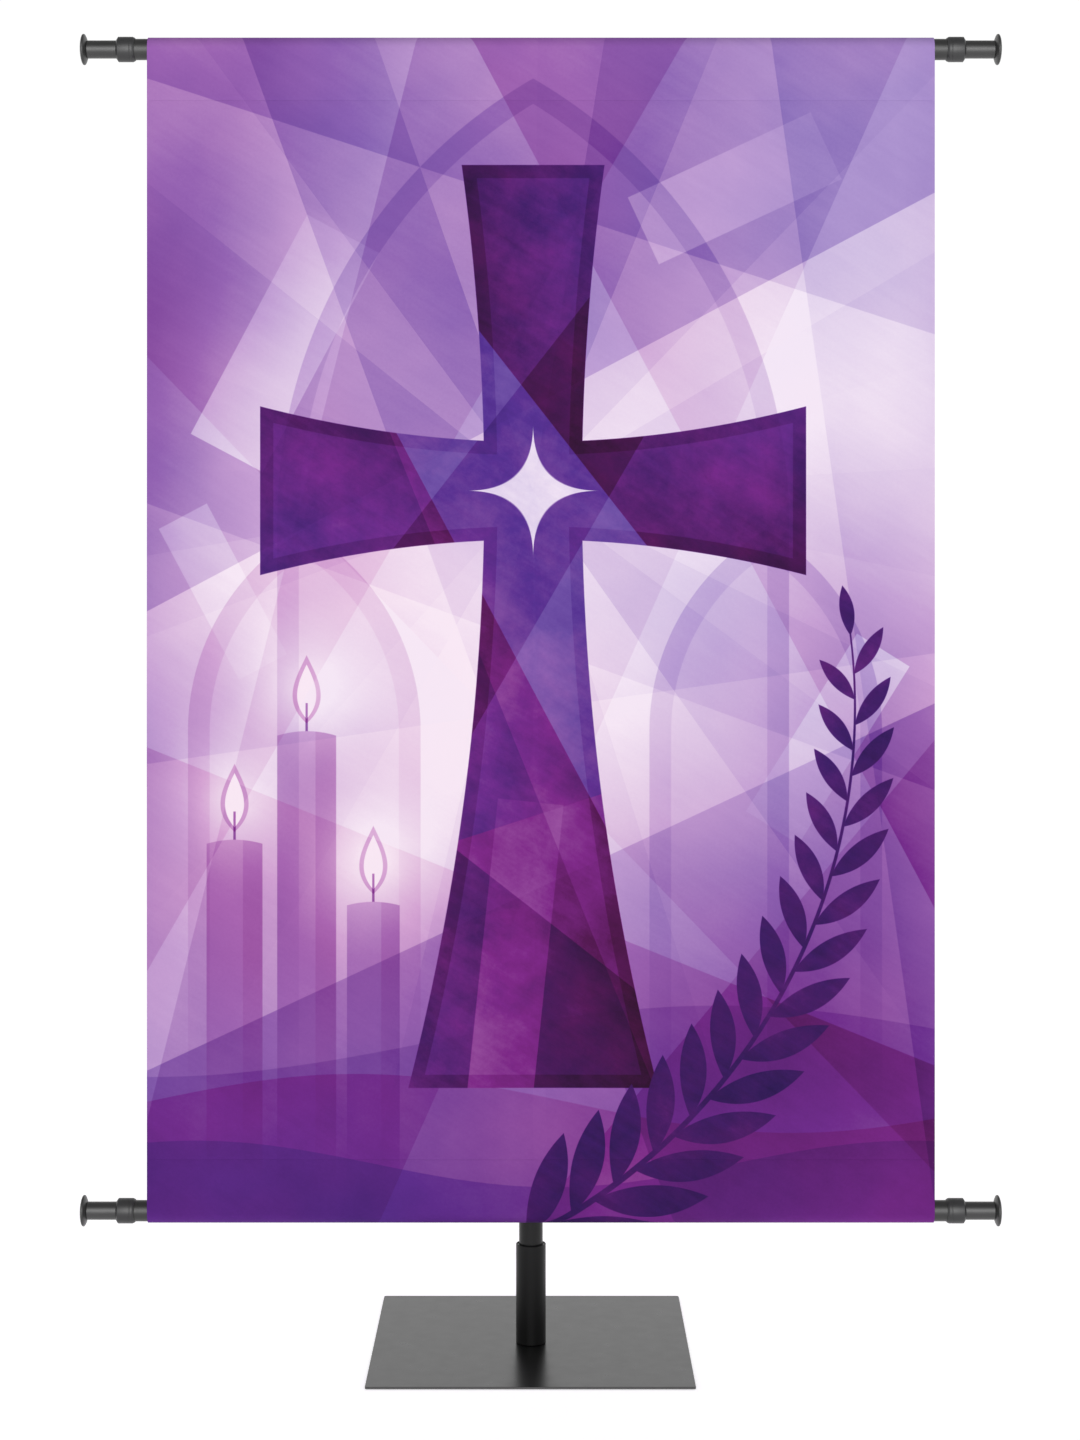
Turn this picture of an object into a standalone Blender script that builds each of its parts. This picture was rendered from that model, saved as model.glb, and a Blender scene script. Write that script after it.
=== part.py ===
"""A church banner on its floor stand.

A printed cloth with a sewn pole pocket at its top and bottom edges is spread between two crossbars. Both
bars are clipped in front of an upright mast, which telescopes out of a short lower tube on a flat steel base
plate. Each bar reaches past the cloth as a thinner extension, which slides in the bar's main tube and ends in
a flanged cap.

Metres, +Z up, +X to the viewer's right, and the cloth's printed side faces -Y. The origin is on the floor, on
the mast's axis.
"""

import math

import bmesh
import bpy
from mathutils import Vector

# Clearances between pieces
FIT_GAP = 0.0003

# Base plate: a flat steel square, whose middle lies a little behind the mast
PLATE_SIDE = 0.410
PLATE_THICKNESS = 0.003
PLATE_SETBACK = 0.015
PLATE_CORNER_RADIUS = 0.003
PLATE_EDGE_BEVEL = 0.0004

# Lower tube, its bush and the mast
LOWER_TUBE_RADIUS = 0.0195
LOWER_TUBE_WALL = 0.0015
LOWER_TUBE_TOP = 0.1325
RIM_CHAMFER = 0.0006
BUSH_HEIGHT = 0.030
BUSH_DROP = 0.001
MAST_RADIUS = 0.0155
MAST_WALL = 0.0015
MAST_BOTTOM = 0.024
CAP_CROWN = 0.003
CAP_LIP = 0.001
CAP_STEM = 0.012

# Crossbars, held in front of the mast
BAR_FORWARD = 0.036
TOP_BAR_HEIGHT = 1.6876
BOTTOM_BAR_HEIGHT = 0.1837
BAR_RADIUS = 0.0136
BAR_WALL = 0.0016

# What shows of a bar past the cloth, as distances from the cloth's edge
COLLAR_START = 0.0172
BAR_END = 0.0367
COLLAR_END = 0.0412
FLANGE_START = 0.0793
FLANGE_RIM = 0.0832
CAP_TIP = 0.0880

# Collars, extensions and their end caps
COLLAR_RADIUS = 0.0162
COLLAR_INNER_CHAMFER = 0.0028
COLLAR_OUTER_CHAMFER = 0.0024
COLLAR_LIP_WALL = 0.0008
EXTENSION_RADIUS = 0.0116
EXTENSION_WALL = 0.0012
EXTENSION_LENGTH = 0.300
FLANGE_RADIUS = 0.0199
RIM_THICKNESS = 0.0008
STEM_LENGTH = 0.014
CURVE_STEPS = 6

# Banner cloth: the finished panel, and the pockets folded to its back
CLOTH_WIDTH = 1.016
CLOTH_MIDDLE = 0.013
CLOTH_THICKNESS = 0.0012
POCKET_DEPTH = 0.062
SEAM_ALLOWANCE = 0.012

# The window cut in the back of each pocket, where the clip grips the bar
WINDOW_WIDTH = 0.070
WINDOW_ANGLE = math.radians(60)
WINDOW_FRONT = 0.0015
WINDOW_DEPTH = 0.045
WINDOW_BACK = 0.030

# Clips that join the bars to the mast
RING_WALL = 0.0050
RING_OUTWARD = 0.010
RING_INWARD = 0.020
HOOK_WALL = 0.0035
HOOK_WIDTH = 0.024
HOOK_LIP_ANGLE = math.radians(45)
HOOK_TOE_ANGLE = math.radians(-130)
NECK_HALF_HEIGHT = 0.009
NECK_BACK = 0.0197

ROUND_STEPS = 48
ARC_STEP = math.radians(7.5)
SHARP_ANGLE = math.radians(35)
QUARTER_TURN = math.pi / 2

PLATE_TOP = PLATE_THICKNESS
BAR_Y = -BAR_FORWARD
HALF_CLOTH = CLOTH_WIDTH / 2
POCKET_INSIDE = BAR_RADIUS + FIT_GAP
POCKET_OUTSIDE = POCKET_INSIDE + CLOTH_THICKNESS
# The back of a pocket leans forward by this much on its way from the bar to the seam
POCKET_LEAN = 2 * math.atan2(POCKET_INSIDE, POCKET_DEPTH)
MAST_TOP = TOP_BAR_HEIGHT + RING_OUTWARD + 0.002


def clear_scene():
    for thing in list(bpy.data.objects):
        bpy.data.objects.remove(thing, do_unlink=True)


def paint(name, colour, roughness, metallic=0.0):
    finish = bpy.data.materials.new(name)
    finish.use_nodes = True
    shader = finish.node_tree.nodes["Principled BSDF"]
    shader.inputs["Base Color"].default_value = (*colour, 1.0)
    shader.inputs["Roughness"].default_value = roughness
    shader.inputs["Metallic"].default_value = metallic
    return finish


def add_object(name, mesh, parent=None, place=(0, 0, 0), turn=(0, 0, 0)):
    piece = bpy.data.objects.new(name, mesh)
    bpy.context.scene.collection.objects.link(piece)
    piece.parent = parent
    piece.location = place
    piece.rotation_euler = turn
    return piece


def finished_mesh(name, bm, finish):
    """Closes up a modelled shape, turns its faces outwards and shades its round sides smooth."""
    bmesh.ops.remove_doubles(bm, verts=bm.verts, dist=1e-6)
    bmesh.ops.recalc_face_normals(bm, faces=bm.faces)
    mesh = bpy.data.meshes.new(name)
    bm.to_mesh(mesh)
    bm.free()
    mesh.materials.append(finish)
    mesh.shade_smooth()
    mesh.set_sharp_from_angle(angle=SHARP_ANGLE)
    return mesh


def turned(name, outline, finish, closed=True):
    """Turned about +Z from (radius, height) pairs. An outline that isn't closed meets the axis."""
    bm = bmesh.new()
    points = [bm.verts.new((radius, 0, height)) for radius, height in outline]
    pairs = list(zip(points, points[1:]))
    if closed:
        pairs.append((points[-1], points[0]))
    edges = [bm.edges.new(pair) for pair in pairs]
    bmesh.ops.spin(
        bm,
        geom=points + edges,
        axis=(0, 0, 1),
        cent=(0, 0, 0),
        angle=math.tau,
        steps=ROUND_STEPS,
        use_merge=True,
    )
    return finished_mesh(name, bm, finish)


def tube(name, radius, wall, start, end, finish):
    inside = radius - wall
    return turned(name, [(inside, start), (radius, start), (radius, end), (inside, end)], finish)


def extruded(name, loops, width, finish):
    """A section in the YZ plane, an outline with any holes after it, extruded to both sides along X."""
    bm = bmesh.new()
    edges = []
    for loop in loops:
        points = [bm.verts.new((-width / 2, y, z)) for y, z in loop]
        edges += [bm.edges.new(pair) for pair in zip(points, points[1:] + points[:1])]
    filled = bmesh.ops.triangle_fill(bm, use_beauty=True, edges=edges, normal=(1, 0, 0))
    section = [part for part in filled["geom"] if isinstance(part, bmesh.types.BMFace)]
    swept = bmesh.ops.extrude_face_region(bm, geom=section)
    far_side = [part for part in swept["geom"] if isinstance(part, bmesh.types.BMVert)]
    bmesh.ops.translate(bm, verts=far_side, vec=(width, 0, 0))
    return finished_mesh(name, bm, finish)


def block(name, low, high, finish):
    bm = bmesh.new()
    bmesh.ops.create_cube(bm, size=1.0)
    low, high = Vector(low), Vector(high)
    bmesh.ops.scale(bm, vec=high - low, verts=bm.verts)
    bmesh.ops.translate(bm, vec=(low + high) / 2, verts=bm.verts)
    return finished_mesh(name, bm, finish)


def combine(piece, helper, operation):
    """Joins a helper shape to a piece or cuts it away. The helper isn't part of the object."""
    helper.hide_render = True
    helper.display_type = "WIRE"
    step = piece.modifiers.new(f"{operation.title()} {helper.name}", "BOOLEAN")
    step.operation = operation
    step.solver = "EXACT"
    step.object = helper


def arc(radius, start, end):
    """Points round a bar's axis. Angle 0 points to the back, and a quarter turn points up."""
    count = max(2, math.ceil(abs(end - start) / ARC_STEP))
    angles = [start + (end - start) * step / count for step in range(count + 1)]
    return [(radius * math.cos(angle), radius * math.sin(angle)) for angle in angles]


def rise_of(edge):
    return abs(edge.verts[0].co.z - edge.verts[1].co.z)


def plate_mesh(finish):
    """The base plate, with slightly rounded corners and a softened edge."""
    bm = bmesh.new()
    bmesh.ops.create_cube(bm, size=1.0)
    bmesh.ops.scale(bm, vec=(PLATE_SIDE, PLATE_SIDE, PLATE_THICKNESS), verts=bm.verts)
    bmesh.ops.translate(bm, vec=(0, 0, PLATE_THICKNESS / 2), verts=bm.verts)
    upright = [edge for edge in bm.edges if rise_of(edge) > PLATE_THICKNESS / 2]
    bmesh.ops.bevel(bm, geom=upright, offset=PLATE_CORNER_RADIUS, segments=4, profile=0.5, affect="EDGES")
    rim = [edge for edge in bm.edges if rise_of(edge) < PLATE_EDGE_BEVEL]
    bmesh.ops.bevel(bm, geom=rim, offset=PLATE_EDGE_BEVEL, segments=1, profile=0.5, affect="EDGES")
    return finished_mesh("base_plate", bm, finish)


def build_base(body, steel):
    add_object("base_plate", plate_mesh(steel), body, (0, PLATE_SETBACK, 0))
    inside = LOWER_TUBE_RADIUS - LOWER_TUBE_WALL
    foot = PLATE_TOP + FIT_GAP
    outline = [
        (inside, foot),
        (LOWER_TUBE_RADIUS, foot),
        (LOWER_TUBE_RADIUS, LOWER_TUBE_TOP - RIM_CHAMFER),
        (LOWER_TUBE_RADIUS - RIM_CHAMFER, LOWER_TUBE_TOP),
        (inside, LOWER_TUBE_TOP),
    ]
    add_object("lower_tube", turned("lower_tube", outline, steel), body)


def build_bush(body, plastic):
    """The ring in the lower tube's mouth, which the mast turns with and slides in."""
    outside = LOWER_TUBE_RADIUS - LOWER_TUBE_WALL - FIT_GAP
    inside = MAST_RADIUS + FIT_GAP
    top = LOWER_TUBE_TOP - BUSH_DROP
    add_object("bush", tube("bush", outside, outside - inside, top - BUSH_HEIGHT, top, plastic), body)


def build_mast(body, steel, plastic):
    add_object("mast_tube", tube("mast_tube", MAST_RADIUS, MAST_WALL, MAST_BOTTOM, MAST_TOP, steel), body)
    stem = MAST_RADIUS - MAST_WALL - FIT_GAP
    crown = [QUARTER_TURN * step / CURVE_STEPS for step in range(CURVE_STEPS)]
    dome = [(MAST_RADIUS * math.cos(a), CAP_LIP + (CAP_CROWN - CAP_LIP) * math.sin(a)) for a in crown]
    outline = [(0, -CAP_STEM), (stem, -CAP_STEM), (stem, 0), (MAST_RADIUS, 0), *dome, (0, CAP_CROWN)]
    cap = turned("mast_cap", outline, plastic, closed=False)
    add_object("mast_cap", cap, body, (0, 0, MAST_TOP + FIT_GAP))


def hook_section():
    """The hook round a bar's back and underside, and its neck, as (y, z) points about the bar's axis."""
    outside = POCKET_INSIDE + HOOK_WALL
    neck_angle = math.asin(NECK_HALF_HEIGHT / outside)
    bore = arc(POCKET_INSIDE, HOOK_LIP_ANGLE, HOOK_TOE_ANGLE)
    below_neck = arc(outside, HOOK_TOE_ANGLE, -neck_angle)
    above_neck = arc(outside, neck_angle, HOOK_LIP_ANGLE)
    neck = [(NECK_BACK, -NECK_HALF_HEIGHT), (NECK_BACK, NECK_HALF_HEIGHT)]
    return [*bore, *below_neck, *neck, *above_neck]


def build_clip(name, body, height, outward, plastic):
    """A ring round the mast and a hook under the bar, in one. Outward is 1 at the top bar and -1 below."""
    low, high = sorted((-outward * RING_INWARD, outward * RING_OUTWARD))
    bore = MAST_RADIUS + FIT_GAP
    ring = tube(name, bore + RING_WALL, RING_WALL, low, high, plastic)
    clip = add_object(name, ring, body, (0, 0, height))
    section = [(y, outward * z) for y, z in hook_section()]
    hook_mesh = extruded(f"{name}_hook", [section], HOOK_WIDTH, plastic)
    hook = add_object(f"{name}_hook", hook_mesh, body, (0, BAR_Y, height))
    combine(clip, hook, "UNION")


def collar_mesh(plastic):
    """The moulded collar at the end of a main tube, stepped inside from the tube to the extension."""
    bar_bore = BAR_RADIUS + FIT_GAP
    lip_bore = EXTENSION_RADIUS + FIT_GAP
    step = BAR_END + FIT_GAP
    outline = [
        (bar_bore, COLLAR_START),
        (bar_bore + COLLAR_LIP_WALL, COLLAR_START),
        (COLLAR_RADIUS, COLLAR_START + COLLAR_INNER_CHAMFER),
        (COLLAR_RADIUS, COLLAR_END - COLLAR_OUTER_CHAMFER),
        (lip_bore + COLLAR_LIP_WALL, COLLAR_END),
        (lip_bore, COLLAR_END),
        (lip_bore, step),
        (bar_bore, step),
    ]
    return turned("collar", outline, plastic)


def flange_back(angle):
    """A point on the back of an end cap's flange, which swells from the extension to its rim, by angle."""
    radius = EXTENSION_RADIUS + (FLANGE_RADIUS - EXTENSION_RADIUS) * math.sin(angle)
    run = (1 + math.sin(angle) - math.cos(angle)) / 2
    return radius, FLANGE_START + (FLANGE_RIM - FLANGE_START) * run


def end_cap_mesh(rubber):
    """The end cap: a stem in the extension, a swelling flange, a thin rim and a low dome."""
    stem = EXTENSION_RADIUS - EXTENSION_WALL - FIT_GAP
    quarter = [QUARTER_TURN * step / CURVE_STEPS for step in range(CURVE_STEPS + 1)]
    back = [flange_back(angle) for angle in quarter]
    rim = FLANGE_RIM + RIM_THICKNESS
    dome = [(FLANGE_RADIUS * math.cos(a), rim + (CAP_TIP - rim) * math.sin(a)) for a in quarter[:-1]]
    inner_end = FLANGE_START - STEM_LENGTH
    outline = [(0, inner_end), (stem, inner_end), (stem, FLANGE_START), *back, *dome, (0, CAP_TIP)]
    return turned("end_cap", outline, rubber, closed=False)


def build_bars(body, steel, plastic, rubber):
    """Both crossbars, each a main tube with a collar, a sliding extension and an end cap at either end."""
    half_bar = HALF_CLOTH + BAR_END
    collar = collar_mesh(plastic)
    reach = FLANGE_START - FIT_GAP
    inner_end = reach - EXTENSION_LENGTH
    extension = tube("extension", EXTENSION_RADIUS, EXTENSION_WALL, inner_end, reach, steel)
    end_cap = end_cap_mesh(rubber)
    for row, height in (("top", TOP_BAR_HEIGHT), ("bottom", BOTTOM_BAR_HEIGHT)):
        bar = tube(f"{row}_bar", BAR_RADIUS, BAR_WALL, -half_bar, half_bar, steel)
        add_object(f"{row}_bar", bar, body, (CLOTH_MIDDLE, BAR_Y, height), (0, QUARTER_TURN, 0))
        for side, out in (("left", -1), ("right", 1)):
            edge = (CLOTH_MIDDLE + out * HALF_CLOTH, BAR_Y, height)
            turn = (0, out * QUARTER_TURN, 0)
            add_object(f"{row}_{side}_collar", collar, body, edge, turn)
            slider = add_object(f"{row}_{side}_extension", extension, body, edge, turn)
            add_object(f"{row}_{side}_end_cap", end_cap, slider)


def pocket_outside():
    """The outer side of the top pocket, from the front over the bar to the end of its seam allowance."""
    wrap = arc(POCKET_OUTSIDE, math.pi, -POCKET_LEAN)
    back_of_seam = CLOTH_THICKNESS - POCKET_INSIDE
    leave_y, leave_z = wrap[-1]
    drop = (leave_y - back_of_seam) / math.tan(POCKET_LEAN)
    end = -POCKET_DEPTH - SEAM_ALLOWANCE
    return [*wrap, (back_of_seam, leave_z - drop), (back_of_seam, end), (-POCKET_INSIDE, end)]


def pocket_inside():
    """The channel that the bar lies in, down to its seam."""
    return [(-POCKET_INSIDE, -POCKET_DEPTH), *arc(POCKET_INSIDE, math.pi, -POCKET_LEAN)]


def build_cloth(body, fabric):
    """The cloth in one piece: its flat face, and at each end a fold round the bar, sewn to the back."""
    top = [(y, TOP_BAR_HEIGHT + z) for y, z in pocket_outside()]
    bottom = [(y, BOTTOM_BAR_HEIGHT - z) for y, z in reversed(pocket_outside())]
    top_channel = [(y, TOP_BAR_HEIGHT + z) for y, z in pocket_inside()]
    bottom_channel = [(y, BOTTOM_BAR_HEIGHT - z) for y, z in pocket_inside()]
    section = extruded("banner_cloth", [top + bottom, top_channel, bottom_channel], CLOTH_WIDTH, fabric)
    cloth = add_object("banner_cloth", section, body, (CLOTH_MIDDLE, BAR_Y, 0))
    upper = POCKET_INSIDE * math.sin(WINDOW_ANGLE)
    for row, height, outward in (("top", TOP_BAR_HEIGHT, 1), ("bottom", BOTTOM_BAR_HEIGHT, -1)):
        ends = sorted((outward * upper, -outward * WINDOW_DEPTH))
        low = (-WINDOW_WIDTH / 2, WINDOW_FRONT, ends[0])
        high = (WINDOW_WIDTH / 2, WINDOW_BACK, ends[1])
        opening = block(f"{row}_window", low, high, fabric)
        window = add_object(f"{row}_window", opening, body, (0, BAR_Y, height))
        combine(cloth, window, "DIFFERENCE")


def main():
    clear_scene()
    steel = paint("black_steel", (0.020, 0.020, 0.021), 0.35)
    plastic = paint("black_plastic", (0.030, 0.030, 0.032), 0.50)
    rubber = paint("black_rubber", (0.028, 0.028, 0.028), 0.65)
    fabric = paint("printed_cloth", (0.40, 0.22, 0.56), 0.80)

    # The empties on the mast's axis carry the pieces that move together
    base = add_object("stand_base", None)
    turning = add_object("turning_bush", None, base)
    sliding = add_object("sliding_mast", None, turning)

    build_base(base, steel)
    build_bush(turning, plastic)
    build_mast(sliding, steel, plastic)
    build_clip("top_clip", sliding, TOP_BAR_HEIGHT, 1, plastic)
    build_clip("bottom_clip", sliding, BOTTOM_BAR_HEIGHT, -1, plastic)
    build_bars(sliding, steel, plastic, rubber)
    build_cloth(sliding, fabric)


main()
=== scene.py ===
"""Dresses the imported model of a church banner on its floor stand.

Each group of pieces is made by one operator of a small add-on: the printed cloth and its stitching,
the crossbars with their collars, extensions and end caps, the mast, the base and the clips.
Metres, +Z up. The printed side faces -Y, and the origin is on the floor, on the mast's axis.
"""

import math
from functools import partialmethod
from typing import NamedTuple

import bmesh
import bpy
import numpy as np
from mathutils import Matrix, Vector


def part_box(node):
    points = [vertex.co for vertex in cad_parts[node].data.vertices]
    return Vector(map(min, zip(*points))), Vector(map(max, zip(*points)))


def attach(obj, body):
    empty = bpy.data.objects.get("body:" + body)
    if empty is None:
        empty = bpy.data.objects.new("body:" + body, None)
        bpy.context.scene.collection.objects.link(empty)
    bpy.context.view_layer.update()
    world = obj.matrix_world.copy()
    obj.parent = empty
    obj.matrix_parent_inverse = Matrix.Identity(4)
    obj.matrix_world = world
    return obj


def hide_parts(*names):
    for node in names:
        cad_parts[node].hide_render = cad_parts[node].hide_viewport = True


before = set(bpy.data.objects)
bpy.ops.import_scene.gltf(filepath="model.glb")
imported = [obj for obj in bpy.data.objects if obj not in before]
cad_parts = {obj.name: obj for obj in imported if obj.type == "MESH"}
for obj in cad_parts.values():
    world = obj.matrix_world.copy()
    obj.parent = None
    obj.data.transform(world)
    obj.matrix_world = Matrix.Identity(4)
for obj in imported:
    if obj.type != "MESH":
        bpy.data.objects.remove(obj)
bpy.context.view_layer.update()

bl_info = {
    "name": "Church Banner on Floor Stand",
    "version": (1, 0, 0),
    "blender": (4, 5, 0),
    "location": "3D View > Sidebar > Banner",
    "description": "Builds the cloth, fittings and finishes of a church banner around its packed model",
    "category": "Add Mesh",
}

# A millimetre in metres, and a turn in radians
MM = 0.001
TURN = 2 * math.pi
QUARTER_TURN = math.pi / 2

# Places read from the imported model
CLOTH_LOW, CLOTH_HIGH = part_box("banner_cloth")
BAR_BOXES = {"top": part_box("top_bar"), "bottom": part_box("bottom_bar")}
MAST_LOW, MAST_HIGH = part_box("mast_tube")
SLEEVE_LOW, SLEEVE_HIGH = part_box("lower_tube")
BUSH_LOW, BUSH_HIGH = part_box("bush")
PLATE_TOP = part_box("base_plate")[1][2]
CLOTH_WIDTH = CLOTH_HIGH[0] - CLOTH_LOW[0]
CLOTH_MIDDLE = (CLOTH_HIGH[0] + CLOTH_LOW[0]) / 2
BAR_Y = (BAR_BOXES["top"][0][1] + BAR_BOXES["top"][1][1]) / 2
BAR_HEIGHTS = {row: (low[2] + high[2]) / 2 for row, (low, high) in BAR_BOXES.items()}
PRINT_CENTRE = (BAR_HEIGHTS["top"] + BAR_HEIGHTS["bottom"]) / 2
SLEEVE_RADIUS = (SLEEVE_HIGH[0] - SLEEVE_LOW[0]) / 2
BUSH_RADIUS = (BUSH_HIGH[0] - BUSH_LOW[0]) / 2
MAST_RADIUS = (MAST_HIGH[0] - MAST_LOW[0]) / 2

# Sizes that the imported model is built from
FIT_GAP = 0.3 * MM
BAR_RADIUS = 13.6 * MM
BAR_WALL = 1.6 * MM
BAR_PAST_CLOTH = 36.7 * MM
POCKET_RADIUS = 15.1 * MM
POCKET_LEAN = 2 * math.atan2(13.9, 62.0)
WINDOW_HALF_WIDTH = 35.0 * MM
WINDOW_ANGLE = math.radians(55)
WINDOW_DROP = 26.0 * MM
SEAM_ALLOWANCE = 9.0 * MM
COLLAR_START = 17.2 * MM
COLLAR_END = 41.2 * MM
COLLAR_RADIUS = 16.2 * MM
EXTENSION_RADIUS = 11.6 * MM
EXTENSION_WALL = 1.2 * MM
EXTENSION_LENGTH = 300.0 * MM
FLANGE_START = 79.3 * MM
FLANGE_RIM = 83.2 * MM
RIM_THICKNESS = 0.8 * MM
FLANGE_RADIUS = 19.9 * MM
CAP_TIP = 88.0 * MM
STEM_LENGTH = 14.0 * MM
MAST_WALL = 1.5 * MM
SLEEVE_WALL = 1.5 * MM
MAST_CAP_STEM = 12.0 * MM
MAST_CAP_CROWN = 3.0 * MM
MAST_CAP_LIP = 1.0 * MM
MAST_CAP_STEPS = 8
FLANGE_STEPS = 14

# Details of the turned pieces
SLEEVE_CHAMFER = 0.6 * MM
BUSH_CHAMFER = 0.4 * MM
MAST_CHAMFER = 0.3 * MM
BAR_CHAMFER = 0.2 * MM
COLLAR_LIP = 0.8 * MM
COLLAR_INNER_CHAMFER = 2.8 * MM
COLLAR_OUTER_CHAMFER = 2.4 * MM
GROOVE_PLACE = 6.2 * MM
GROOVE_DEPTH = 0.25 * MM
MERGE_DISTANCE = 1e-6
CLIP_MERGE_DISTANCE = 1e-5
FLAT_ANGLE = math.radians(1)
BEVEL_ANGLE = math.radians(40)
BEVEL_STEPS = 2
SHARP_ANGLE = math.radians(28)
CLOTH_SHARP_ANGLE = math.radians(50)

# The cloth's seams, and the grid that it is built on
SEAM_DROP = 69.0 * MM
SEAMS = (BAR_HEIGHTS["top"] - SEAM_DROP, BAR_HEIGHTS["bottom"] + SEAM_DROP)
SEAM_SPREAD = 3.0 * MM
SEAM_INSET = 4.0 * MM
LAPPED_LAYERS = 2.2
POCKET_BEND = 5.0 * MM
LEAN_POINTS = 12
ARC_POINTS = 28
RIPPLE_RUN_IN = 0.10
CLOSE_OFFSETS_MM = (12, 7, 4, 2, 1, 0, -1, -2, -4, -7, -12)
NEAR_BAR_STEP = 10.0 * MM

# The stage
SOFTBOX_PLACE = Vector((0.0, -5.5, 1.85))
SOFTBOX_AIM = Vector((0.0, 0.0, 1.5))
SOFTBOX_SIZE = (4.2, 2.9)
SOFTBOX_WATTS = 60.0
FITTINGS_WATTS = 430.0
ROOM_FRONT = 0.62
ROOM_BACK = 1.02
ROOM_TOP_DIMMING = 0.60
ROOM_DEPTHS = (-1.0, 0.6)
HORIZON_GLOW = (0.22, 0.0)
OVERHEAD = (0.40, 0.80)
FLOOR_GREY = 0.88
FLOOR_GLOW = 0.58
FLOOR_REACH = 9.0
FLOOR_DROP = 0.3 * MM
CAMERA_PLACE = (0.0119, -3.416, 1.0057)
CAMERA_LENS_MM = 65.24
CAMERA_SHIFT = -0.10


def linear(level):
    """One part of a colour as a screen shows it, 0 to 255, as a linear value."""
    part = level / 255
    return ((part + 0.055) / 1.055) ** 2.4 if level > 10 else part / 12.92


def size_property(name, default):
    return bpy.props.FloatProperty(
        name=name, default=default, min=0.0, precision=5, unit="LENGTH", subtype="DISTANCE"
    )


def colour_property(name, *display):
    default = [linear(level) for level in display]
    return bpy.props.FloatVectorProperty(name=name, default=default, min=0.0, max=1.0, subtype="COLOR")


class BannerSizes(bpy.types.PropertyGroup):
    """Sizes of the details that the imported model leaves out."""

    cloth_thickness: size_property("Thickness of the cloth", 0.5 * MM)
    grid_step: size_property("Distance between the cloth's grid lines", 12 * MM)
    ripple: size_property("Height of the slack ripples", 0.7 * MM)
    seam_dip: size_property("Depth that the seams pull in", 0.25 * MM)
    stitch_pitch: size_property("Distance from stitch to stitch", 3.4 * MM)
    stitch_length: size_property("Length of one stitch", 2.7 * MM)
    thread_width: size_property("Width of one stitch", 0.55 * MM)
    weave_pitch: size_property("Distance from thread to thread", 0.45 * MM)
    edge_round: size_property("Rounding of the moulded edges", 0.35 * MM)
    sides: bpy.props.IntProperty(name="Sides of each turned piece", default=96, min=12)


class BannerColours(bpy.types.PropertyGroup):
    """Colours of the finishes, and of the print from its darkest tones to its palest."""

    powder_coat: colour_property("Coating of the plate", 7, 7, 7)
    # Painted light: the plate's sides take this paler grey in place of the brightness that light gives its
    # front edge.
    plate_side_light: colour_property("Painted light on the plate's sides", 84, 84, 84)
    bar_coat: colour_property("Coating of the bars and extensions", 20, 20, 20)
    mast_coat: colour_property("Coating of the mast", 14, 14, 14)
    sleeve_coat: colour_property("Coating of the lower tube", 8, 8, 8)
    moulding: colour_property("Collars, clips, bush and mast cap", 26, 26, 27)
    cap: colour_property("Flanged caps on the extensions", 24, 24, 24)
    cool_black: colour_property("Darkest cool tone of the print", 28, 10, 54)
    cool_dark: colour_property("Indigo", 54, 26, 108)
    cool_deep: colour_property("Deep violet", 82, 44, 142)
    cool_middle: colour_property("Lavender blue", 122, 92, 174)
    cool_light: colour_property("Light lavender", 176, 152, 208)
    cool_pale: colour_property("Palest cool tone", 234, 225, 243)
    warm_black: colour_property("Darkest warm tone of the print", 48, 6, 38)
    warm_dark: colour_property("Aubergine", 82, 14, 80)
    warm_deep: colour_property("Plum", 124, 35, 134)
    warm_middle: colour_property("Orchid", 168, 99, 174)
    warm_light: colour_property("Light orchid", 212, 161, 208)
    warm_pale: colour_property("Palest warm tone", 246, 229, 241)


def sizes():
    return bpy.context.scene.banner_sizes


def colours():
    return bpy.context.scene.banner_colours


class Shade:
    """One output socket in a material. Python's own operators on it add Math nodes to the tree."""

    def __init__(self, tree, socket):
        self.tree = tree
        self.socket = socket

    def node(self, kind, sockets, output=0, stops=None, **settings):
        """Adds any node: its settings first, then the values or links of its sockets."""
        made = self.tree.nodes.new(kind)
        for name, value in settings.items():
            setattr(made, name, value)
        if stops:
            set_stops(made.color_ramp, stops)
        for key, value in sockets.items():
            if isinstance(value, Shade):
                self.tree.links.new(value.socket, made.inputs[key])
            else:
                made.inputs[key].default_value = value
        return Shade(self.tree, made.outputs[output])

    def math(self, operation, *others):
        return self.node("ShaderNodeMath", dict(enumerate((self, *others))), operation=operation)

    __add__ = __radd__ = partialmethod(math, "ADD")
    __sub__ = partialmethod(math, "SUBTRACT")
    __mul__ = __rmul__ = partialmethod(math, "MULTIPLY")
    __truediv__ = partialmethod(math, "DIVIDE")
    __abs__ = partialmethod(math, "ABSOLUTE")
    smaller = partialmethod(math, "MINIMUM")
    larger = partialmethod(math, "MAXIMUM")

    def __rsub__(self, other):
        return self.node("ShaderNodeMath", {0: other, 1: self}, operation="SUBTRACT")

    def squared(self):
        return self * self

    def between(self, low, high):
        """0 at low, 1 at high, and straight between them."""
        sockets = {"Value": self, "From Min": low, "From Max": high}
        return self.node("ShaderNodeMapRange", sockets, clamp=True)

    def towards(self, other, amount):
        """This value blended to another one."""
        return self.node("ShaderNodeMix", {0: amount, 2: self, 3: other}, data_type="FLOAT")


def set_stops(ramp, stops):
    while len(ramp.elements) < len(stops):
        ramp.elements.new(1.0)
    for element, (position, colour) in zip(ramp.elements, stops):
        element.position = position
        element.color = (*colour, 1.0)


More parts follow.
